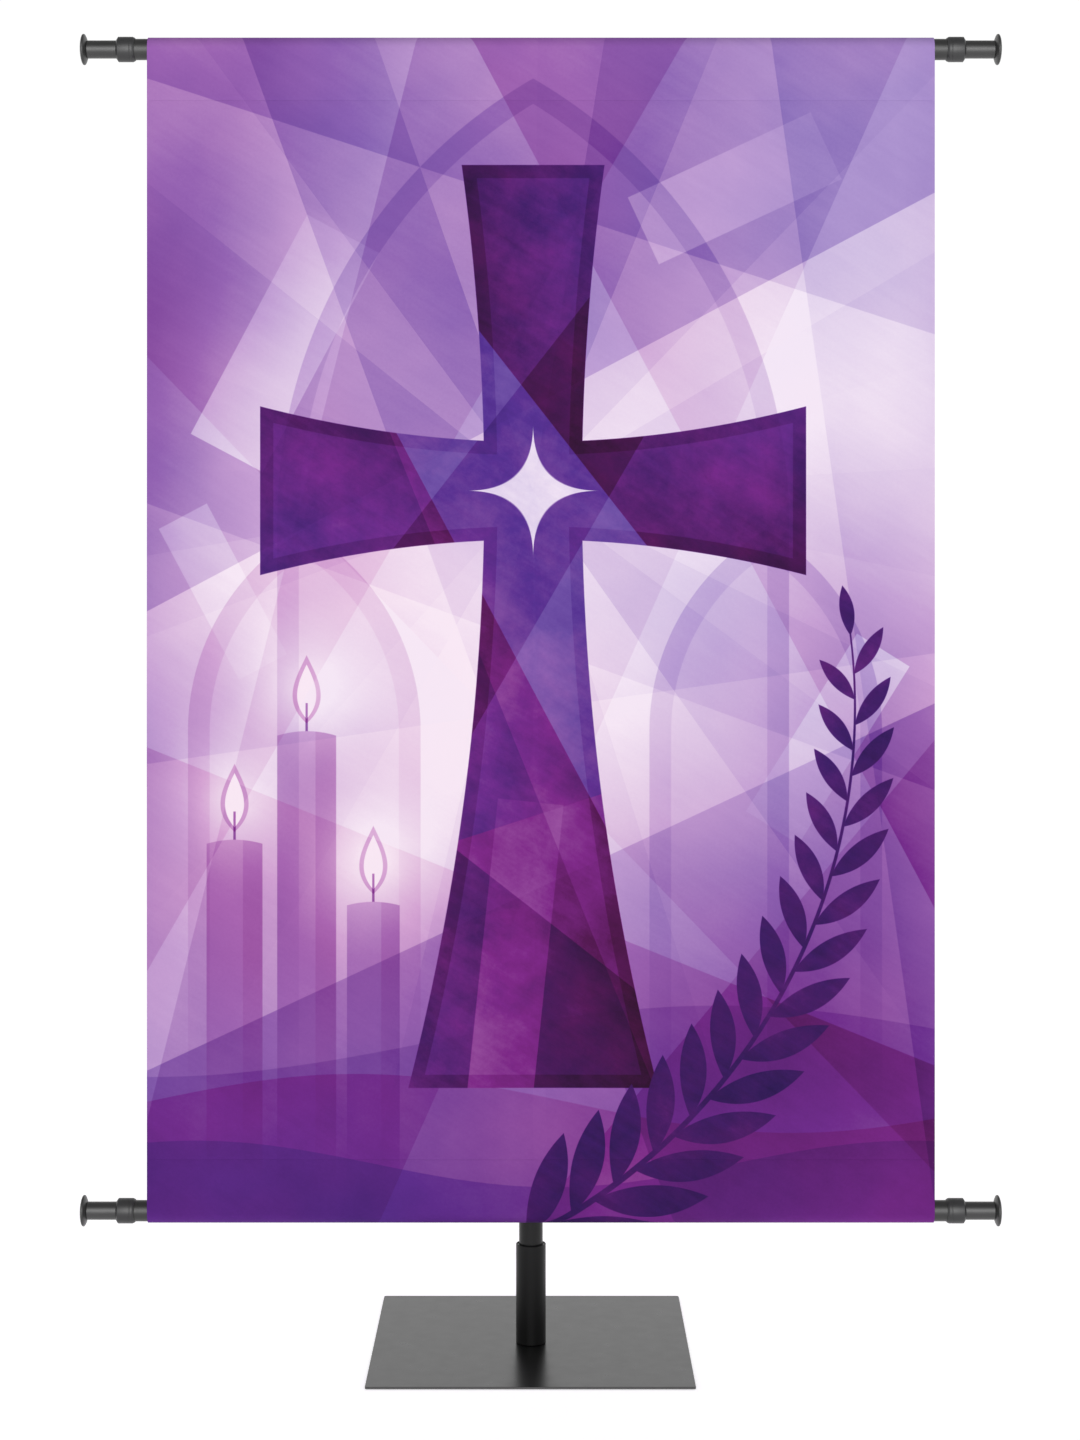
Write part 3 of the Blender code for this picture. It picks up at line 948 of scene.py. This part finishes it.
class BANNER_OT_crossbars(bpy.types.Operator):
    """Builds the main tubes of both crossbars"""

    bl_idname = "banner.crossbars"
    bl_label = "Crossbars"

    def execute(self, context):
        half = CLOTH_WIDTH / 2 + BAR_PAST_CLOTH
        tube = rounded_tube(BAR_RADIUS, BAR_WALL, -half, half, BAR_CHAMFER)
        for row, height in BAR_HEIGHTS.items():
            middle = Matrix.Translation((CLOTH_MIDDLE, BAR_Y, height))
            place = middle @ Matrix.Rotation(QUARTER_TURN, 4, "Y")
            fit_turned(f"{row}_bar_coated", f"{row}_bar", "mast", "bar_coat", tube, place)
        return {"FINISHED"}


def collar_outline():
    """Half of a collar's section: a short cone towards the bar, a seam groove, and a steep cone outwards."""
    bore = BAR_RADIUS + FIT_GAP
    lip = EXTENSION_RADIUS + FIT_GAP
    step = BAR_PAST_CLOTH + FIT_GAP
    groove = COLLAR_START + GROOVE_PLACE
    return [
        (bore, COLLAR_START),
        (bore + COLLAR_LIP, COLLAR_START),
        (COLLAR_RADIUS, COLLAR_START + COLLAR_INNER_CHAMFER),
        (COLLAR_RADIUS, groove - GROOVE_DEPTH),
        (COLLAR_RADIUS - GROOVE_DEPTH, groove),
        (COLLAR_RADIUS, groove + GROOVE_DEPTH),
        (COLLAR_RADIUS, COLLAR_END - COLLAR_OUTER_CHAMFER),
        (lip + COLLAR_LIP, COLLAR_END),
        (lip, COLLAR_END),
        (lip, step),
        (bore, step),
    ]


class BANNER_OT_collars(bpy.types.Operator):
    """Builds the twist collar at each end of the main tubes"""

    bl_idname = "banner.collars"
    bl_label = "Collars"

    def execute(self, context):
        outline = softened(collar_outline(), sizes().edge_round)
        for row, side in each_end():
            node = f"{row}_{side}_collar"
            fit_turned(f"{node}_moulded", node, "mast", "moulded_plastic", outline, bar_end(row, side))
        return {"FINISHED"}


def flange_back(angle):
    """A point on the back of an end cap's flange, which swells from the extension to its rim, by angle."""
    radius = EXTENSION_RADIUS + (FLANGE_RADIUS - EXTENSION_RADIUS) * math.sin(angle)
    run = (1 + math.sin(angle) - math.cos(angle)) / 2
    return radius, FLANGE_START + (FLANGE_RIM - FLANGE_START) * run


def cap_outline():
    """Half of an end cap's section: the stem, a swelling flange, a thin rim and a low dome."""
    stem = EXTENSION_RADIUS - EXTENSION_WALL - FIT_GAP
    turns = quarter(FLANGE_STEPS)
    back = [flange_back(angle) for angle in turns]
    rim = FLANGE_RIM + RIM_THICKNESS
    dome = [(FLANGE_RADIUS * math.cos(a), rim + (CAP_TIP - rim) * math.sin(a)) for a in turns[:-1]]
    inner_end = FLANGE_START - STEM_LENGTH
    return [(0, inner_end), (stem, inner_end), (stem, FLANGE_START), *back, *dome, (0, CAP_TIP)]


class BANNER_OT_extensions(bpy.types.Operator):
    """Builds the sliding extensions and their flanged end caps"""

    bl_idname = "banner.extensions"
    bl_label = "Extensions and end caps"

    def execute(self, context):
        reach = FLANGE_START - FIT_GAP
        start = reach - EXTENSION_LENGTH
        tube = rounded_tube(EXTENSION_RADIUS, EXTENSION_WALL, start, reach, BAR_CHAMFER)
        for row, side in each_end():
            end = f"{row}_{side}"
            body = f"{end}_end"
            place = bar_end(row, side)
            fit_turned(f"{end}_extension_coated", f"{end}_extension", body, "extension_coat", tube, place)
            names = (f"{end}_end_cap_moulded", f"{end}_end_cap")
            fit_turned(*names, body, "cap_rubber", cap_outline(), place, closed=False)
        return {"FINISHED"}


def pocket_path():
    """The top pocket's printed side as (y, z), from its sewn end at the back, over the bar, to the front."""
    back = LAPPED_LAYERS * sizes().cloth_thickness - POCKET_RADIUS
    leave = Vector((POCKET_RADIUS * math.cos(POCKET_LEAN), -POCKET_RADIUS * math.sin(POCKET_LEAN)))
    down = Vector((-math.sin(POCKET_LEAN), -math.cos(POCKET_LEAN)))
    corner = leave + down * (leave.x - back) / math.sin(POCKET_LEAN)
    end = Vector((back, corner.y - SEAM_ALLOWANCE))
    before = corner + Vector((0, -POCKET_BEND))
    after = corner - down * POCKET_BEND
    path = [end, (end + before) / 2]
    for part in (0, 0.25, 0.5, 0.75, 1):
        path.append((1 - part) ** 2 * before + 2 * part * (1 - part) * corner + part**2 * after)
    to_window = (leave - after).length - WINDOW_DROP
    path += [after - down * to_window * part for part in (0.33, 0.66, 1.0)]
    path += [after - down * (to_window + WINDOW_DROP * part) for part in (0.33, 0.66)]
    angles = np.linspace(-POCKET_LEAN, WINDOW_ANGLE, LEAN_POINTS)[:-1].tolist()
    angles += np.linspace(WINDOW_ANGLE, math.pi, ARC_POINTS).tolist()
    path += [Vector((POCKET_RADIUS * math.cos(a), POCKET_RADIUS * math.sin(a))) for a in angles]
    return path


def front_heights():
    """Heights of the front's grid lines, closer together at the two seams."""
    top, bottom = BAR_HEIGHTS["top"], BAR_HEIGHTS["bottom"]
    close = [offset * MM - SEAM_DROP for offset in CLOSE_OFFSETS_MM]
    below_bar = [-NEAR_BAR_STEP * step for step in range(1, 6)] + close
    count = round((top - bottom + 2 * close[-1]) / sizes().grid_step)
    middle = np.linspace(top + close[-1], bottom - close[-1], count + 1)[1:-1].tolist()
    upper = [top + offset for offset in below_bar]
    lower = [bottom - offset for offset in reversed(below_bar)]
    return upper + middle + lower


def cloth_path():
    """The whole strip of cloth as (y, z) rows on its printed side, from one pocket's end to the other's."""
    pocket = pocket_path()
    top = [Vector((BAR_Y + point.x, BAR_HEIGHTS["top"] + point.y)) for point in pocket]
    front = [Vector((BAR_Y - POCKET_RADIUS, height)) for height in front_heights()]
    bottom = [Vector((BAR_Y + point.x, BAR_HEIGHTS["bottom"] - point.y)) for point in reversed(pocket)]
    return np.array([tuple(point) for point in top + front + bottom]), len(pocket)


def cloth_columns():
    """Places of the grid lines across the cloth, with one at each side of the pockets' windows."""
    half = CLOTH_WIDTH / 2
    columns = np.linspace(-half, half, round(CLOTH_WIDTH / sizes().grid_step) + 1)
    for edge in (-WINDOW_HALF_WIDTH - CLOTH_MIDDLE, WINDOW_HALF_WIDTH - CLOTH_MIDDLE):
        columns[np.argmin(abs(columns - edge))] = edge
    return columns


def ripples(across, height):
    """How far the stretched cloth stands forward or back of its plane, in metres."""
    room = np.minimum(SEAMS[0] - height, height - SEAMS[1])
    swell = np.clip(room / RIPPLE_RUN_IN, 0, 1)
    swell = swell * swell * (3 - 2 * swell)
    waves = 0.5 * np.sin(21 * across + 3.0 * height + 0.6)
    waves += 0.3 * np.sin(37 * across - 5.0 * height + 2.2)
    waves += 0.35 * np.sin(7.0 * height - 9.0 * across + 1.0)
    return sizes().ripple * swell * waves


def seam_dips(height):
    """How deep the two rows of stitches pull into the front, in metres."""
    return sum(sizes().seam_dip * np.exp(-(((height - seam) / SEAM_SPREAD) ** 2)) for seam in SEAMS)


def cloth_sides():
    """Points of the printed side and of the back, each one's flat place, and the cloth's flat length."""
    path, pocket_rows = cloth_path()
    columns = cloth_columns()
    ahead = np.gradient(path, axis=0)
    ahead /= np.linalg.norm(ahead, axis=1, keepdims=True)
    outward = np.stack([ahead[:, 1], -ahead[:, 0]], axis=1)
    steps = np.linalg.norm(np.diff(path, axis=0), axis=1)
    distance = np.concatenate([[0], np.cumsum(steps)])
    up = BAR_HEIGHTS["top"] - PRINT_CENTRE + distance[pocket_rows - 1] - distance
    across, row_y = np.meshgrid(columns, path[:, 0])
    row_z = np.broadcast_to(path[:, 1:2], across.shape)
    on_front = np.zeros(len(path))
    on_front[pocket_rows:-pocket_rows] = 1
    shift = (ripples(across, row_z) + seam_dips(row_z)) * on_front[:, None]
    printed = np.stack([across + CLOTH_MIDDLE, row_y + shift, row_z], axis=-1)
    inward = np.stack([np.zeros(len(path)), -outward[:, 0], -outward[:, 1]], axis=1)[:, None, :]
    plain = printed + inward * sizes().cloth_thickness
    flat = np.stack([across, np.broadcast_to(up[:, None], across.shape)], axis=-1)
    return printed, plain, flat, distance[-1]


def window_cells(rows, columns):
    """True for each grid cell that is cut out of the pockets' backs, where the clips grip the bars."""
    path, pocket_rows = cloth_path()
    middle = (path[1:] + path[:-1]) / 2
    cut_rows = np.zeros(rows - 1, dtype=bool)
    for height, way in ((BAR_HEIGHTS["top"], 1), (BAR_HEIGHTS["bottom"], -1)):
        rise = (middle[:, 1] - height) * way
        behind = middle[:, 0] - BAR_Y
        low_enough = rise < POCKET_RADIUS * math.sin(WINDOW_ANGLE)
        foot = POCKET_RADIUS * math.sin(POCKET_LEAN) + WINDOW_DROP * math.cos(POCKET_LEAN)
        cut_rows |= low_enough & (rise > -foot) & (behind > 0)
    centres = (cloth_columns()[1:] + cloth_columns()[:-1]) / 2 + CLOTH_MIDDLE
    return cut_rows[:, None] & (abs(centres) < WINDOW_HALF_WIDTH)[None, :]


def cloth_faces(rows, columns, cut):
    """Faces of both sides, and of the thin rim that joins them round each edge."""
    offset = rows * columns
    faces = []
    for row in range(rows - 1):
        for column in range(columns - 1):
            if cut[row, column]:
                continue
            first = row * columns + column
            corners = (first, first + columns, first + columns + 1, first + 1)
            faces.append(corners)
            faces.append(tuple(offset + corner for corner in reversed(corners)))
            neighbours = ((row, column - 1), (row + 1, column), (row, column + 1), (row - 1, column))
            for side, (next_row, next_column) in enumerate(neighbours):
                inside = 0 <= next_row < rows - 1 and 0 <= next_column < columns - 1
                if inside and not cut[next_row, next_column]:
                    continue
                start, end = corners[side], corners[(side + 1) % 4]
                faces.append((end, start, start + offset, end + offset))
    return faces


def set_flat_places(mesh, flat, back):
    """Gives a mesh the print's flat places as its UV map, and says which points are on the back."""
    layer = mesh.uv_layers.new(name="cloth")
    corners = np.zeros(len(mesh.loops), dtype=np.int32)
    mesh.loops.foreach_get("vertex_index", corners)
    layer.data.foreach_set("uv", flat[corners].astype(np.float32).ravel())
    mesh.attributes.new("back", "FLOAT", "POINT").data.foreach_set("value", back.astype(np.float32))


class BANNER_OT_cloth(bpy.types.Operator):
    """Builds the printed cloth with its two pole pockets"""

    bl_idname = "banner.cloth"
    bl_label = "Cloth"

    def execute(self, context):
        printed, plain, flat, length = cloth_sides()
        rows, columns = printed.shape[:2]
        points = np.concatenate([printed.reshape(-1, 3), plain.reshape(-1, 3)])
        mesh = bpy.data.meshes.new("banner_print")
        mesh.from_pydata(points.tolist(), [], cloth_faces(rows, columns, window_cells(rows, columns)))
        flat_places = np.concatenate([flat.reshape(-1, 2)] * 2)
        back = np.repeat([0.0, 1.0], rows * columns)
        set_flat_places(mesh, flat_places, back)
        bm = bmesh.new()
        bm.from_mesh(mesh)
        loose = [vert for vert in bm.verts if not vert.link_faces]
        bmesh.ops.delete(bm, geom=loose, context="VERTS")
        bm.to_mesh(mesh)
        bm.free()
        smooth(mesh, CLOTH_SHARP_ANGLE)
        cloth = link_object("banner_print", mesh, finish_named("woven_print", woven_print))
        dress(cloth, "banner_cloth", "mast")
        return {"FINISHED"}


STITCH_INPUTS = {"Lines": "Geometry", "Pitch": "Float", "Stitch size": "Vector", "Thread": "Material"}


def stitch_tree():
    """A Geometry Nodes tree that lays stitches at an even pitch along straight lines."""
    tree = bpy.data.node_groups.new("Stitches along lines", "GeometryNodeTree")
    for name, kind in STITCH_INPUTS.items():
        tree.interface.new_socket(name, in_out="INPUT", socket_type=f"NodeSocket{kind}")
    tree.interface.new_socket("Stitches", in_out="OUTPUT", socket_type="NodeSocketGeometry")
    given = tree.nodes.new("NodeGroupInput").outputs
    stitch = tree.nodes.new("GeometryNodeMeshUVSphere")
    for name, value in {"Segments": 6, "Rings": 4, "Radius": 0.5}.items():
        stitch.inputs[name].default_value = value
    copies = {"Instance": stitch.outputs["Mesh"], "Scale": given["Stitch size"]}
    steps = (
        ("GeometryNodeMeshToCurve", "Mesh", {}),
        ("GeometryNodeCurveToPoints", "Curve", {"Length": given["Pitch"]}),
        ("GeometryNodeInstanceOnPoints", "Points", copies),
        ("GeometryNodeRealizeInstances", "Geometry", {}),
        ("GeometryNodeSetMaterial", "Geometry", {"Material": given["Thread"]}),
    )
    flow = given["Lines"]
    for kind, entrance, others in steps:
        node = tree.nodes.new(kind)
        if kind == "GeometryNodeCurveToPoints":
            node.mode = "LENGTH"
        for name, source in {entrance: flow, **others}.items():
            tree.links.new(source, node.inputs[name])
        flow = node.outputs[0]
    tree.links.new(flow, tree.nodes.new("NodeGroupOutput").inputs["Stitches"])
    return tree


def made_plain(piece):
    """The evaluated piece as a plain mesh, with its modifiers gone."""
    context = bpy.context
    context.view_layer.update()
    evaluated = piece.evaluated_get(context.evaluated_depsgraph_get())
    mesh = bpy.data.meshes.new_from_object(evaluated)
    piece.modifiers.clear()
    piece.data = mesh
    return mesh


def seam_lines():
    """Both ends of each row of stitches: at the front and at the back of each pocket's seam."""
    half = CLOTH_WIDTH / 2 - SEAM_INSET
    front = BAR_Y - POCKET_RADIUS + sizes().seam_dip - 0.1 * MM
    back = BAR_Y - POCKET_RADIUS + LAPPED_LAYERS * sizes().cloth_thickness + 0.05 * MM
    rows = [(y, height) for y in (front, back) for height in SEAMS]
    return [[(CLOTH_MIDDLE + side * half, *row) for side in (-1, 1)] for row in rows]


class BANNER_OT_stitches(bpy.types.Operator):
    """Sews both pocket seams"""

    bl_idname = "banner.stitches"
    bl_label = "Stitches"

    def execute(self, context):
        lines = seam_lines()
        points = [point for line in lines for point in line]
        edges = [(2 * index, 2 * index + 1) for index in range(len(lines))]
        mesh = bpy.data.meshes.new("pocket_stitches")
        mesh.from_pydata(points, edges, [])
        stitches = link_object("pocket_stitches", mesh)
        modifier = stitches.modifiers.new("Stitches", "NODES")
        tree = modifier.node_group = stitch_tree()
        thread = sizes().thread_width
        values = {
            "Pitch": sizes().stitch_pitch,
            "Stitch size": (sizes().stitch_length, thread * 0.7, thread),
            "Thread": finish_named("woven_print", woven_print),
        }
        for name, value in values.items():
            modifier[tree.interface.items_tree[name].identifier] = value

        sewn = made_plain(stitches)
        if not sewn.polygons:
            raise RuntimeError("the seams have no stitches")
        places = np.zeros(len(sewn.vertices) * 3)
        sewn.vertices.foreach_get("co", places)
        places = places.reshape(-1, 3)
        flat = np.stack([places[:, 0] - CLOTH_MIDDLE, places[:, 2] - PRINT_CENTRE], axis=1)
        behind = (places[:, 1] > BAR_Y - POCKET_RADIUS + sizes().cloth_thickness).astype(float)
        set_flat_places(sewn, flat, behind)
        sewn.shade_smooth()
        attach(stitches, "mast")
        return {"FINISHED"}


def softbox(name, watts, receivers=None):
    """A wide softbox before the banner, which lights everything, or only the pieces of one collection."""
    data = bpy.data.lights.new(name, "AREA")
    data.shape = "RECTANGLE"
    data.size, data.size_y = SOFTBOX_SIZE
    data.energy = watts
    light = bpy.data.objects.new(name, data)
    bpy.context.scene.collection.objects.link(light)
    light.location = SOFTBOX_PLACE
    light.rotation_euler = (SOFTBOX_AIM - SOFTBOX_PLACE).to_track_quat("-Z", "Y").to_euler()
    if receivers:
        light.light_linking.receiver_collection = receivers


def white_room():
    """A plain room, white round the horizon, and dimmer overhead and on the printed side."""
    world = bpy.data.worlds.new("white_room")
    world.use_nodes = True
    tree = world.node_tree
    coordinates = tree.nodes.new("ShaderNodeTexCoord")
    way = Shade(tree, coordinates.outputs["Generated"])
    depth = way.node("ShaderNodeSeparateXYZ", {0: way}, output=1)
    height = way.node("ShaderNodeSeparateXYZ", {0: way}, output=2)
    strength = ROOM_FRONT + (ROOM_BACK - ROOM_FRONT) * depth.between(*ROOM_DEPTHS)
    strength = strength.towards(ROOM_BACK, height.between(*HORIZON_GLOW))
    strength = strength * (1.0 - ROOM_TOP_DIMMING * height.between(*OVERHEAD))
    tree.links.new(strength.socket, tree.nodes["Background"].inputs["Strength"])
    tree.nodes["Background"].inputs["Color"].default_value = (1.0, 1.0, 1.0, 1.0)
    return world


class BANNER_OT_stage(bpy.types.Operator):
    """Sets up the floor, the soft white light and the camera"""

    bl_idname = "banner.stage"
    bl_label = "Stage"

    def execute(self, context):
        scene = context.scene
        mesh = bpy.data.meshes.new("floor")
        ways = ((-1, -1), (1, -1), (1, 1), (-1, 1))
        corners = [(x * FLOOR_REACH, y * FLOOR_REACH, -FLOOR_DROP) for x, y in ways]
        mesh.from_pydata(corners, [], [(0, 1, 2, 3)])
        floor = link_object("floor", mesh, finish_named("white_floor", white_floor))
        scene.world = white_room()
        softbox("front_softbox", SOFTBOX_WATTS)
        softbox("fittings_softbox", FITTINGS_WATTS, fittings())
        scene.view_settings.view_transform = "Standard"
        scene.view_settings.look = "None"
        camera = bpy.data.objects.new("camera", bpy.data.cameras.new("camera"))
        scene.collection.objects.link(camera)
        camera.location = CAMERA_PLACE
        camera.rotation_euler = (QUARTER_TURN, 0, 0)
        camera.data.lens = CAMERA_LENS_MM
        camera.data.shift_y = CAMERA_SHIFT
        camera.data.clip_end = 50.0
        scene.camera = camera
        return {"FINISHED"}


PIECE_OPERATORS = (
    BANNER_OT_stage,
    BANNER_OT_base,
    BANNER_OT_mast,
    BANNER_OT_clips,
    BANNER_OT_crossbars,
    BANNER_OT_collars,
    BANNER_OT_extensions,
    BANNER_OT_cloth,
    BANNER_OT_stitches,
)


class BANNER_PT_panel(bpy.types.Panel):
    """Lists the banner's sizes, colours and pieces"""

    bl_idname = "BANNER_PT_panel"
    bl_label = "Banner"
    bl_space_type = "VIEW_3D"
    bl_region_type = "UI"
    bl_category = "Banner"

    def draw(self, context):
        layout = self.layout
        for group in (context.scene.banner_sizes, context.scene.banner_colours):
            column = layout.column()
            for name in group.__annotations__:
                column.prop(group, name)
        for operator in PIECE_OPERATORS:
            layout.operator(operator.bl_idname)


CLASSES = (BannerSizes, BannerColours, *PIECE_OPERATORS, BANNER_PT_panel)


def register():
    for made in CLASSES:
        bpy.utils.register_class(made)
    bpy.types.Scene.banner_sizes = bpy.props.PointerProperty(type=BannerSizes)
    bpy.types.Scene.banner_colours = bpy.props.PointerProperty(type=BannerColours)


def unregister():
    del bpy.types.Scene.banner_colours
    del bpy.types.Scene.banner_sizes
    for made in reversed(CLASSES):
        bpy.utils.unregister_class(made)


def main():
    register()
    for operator in PIECE_OPERATORS:
        group, name = operator.bl_idname.split(".")
        getattr(getattr(bpy.ops, group), name)()


if __name__ == "__main__":
    main()
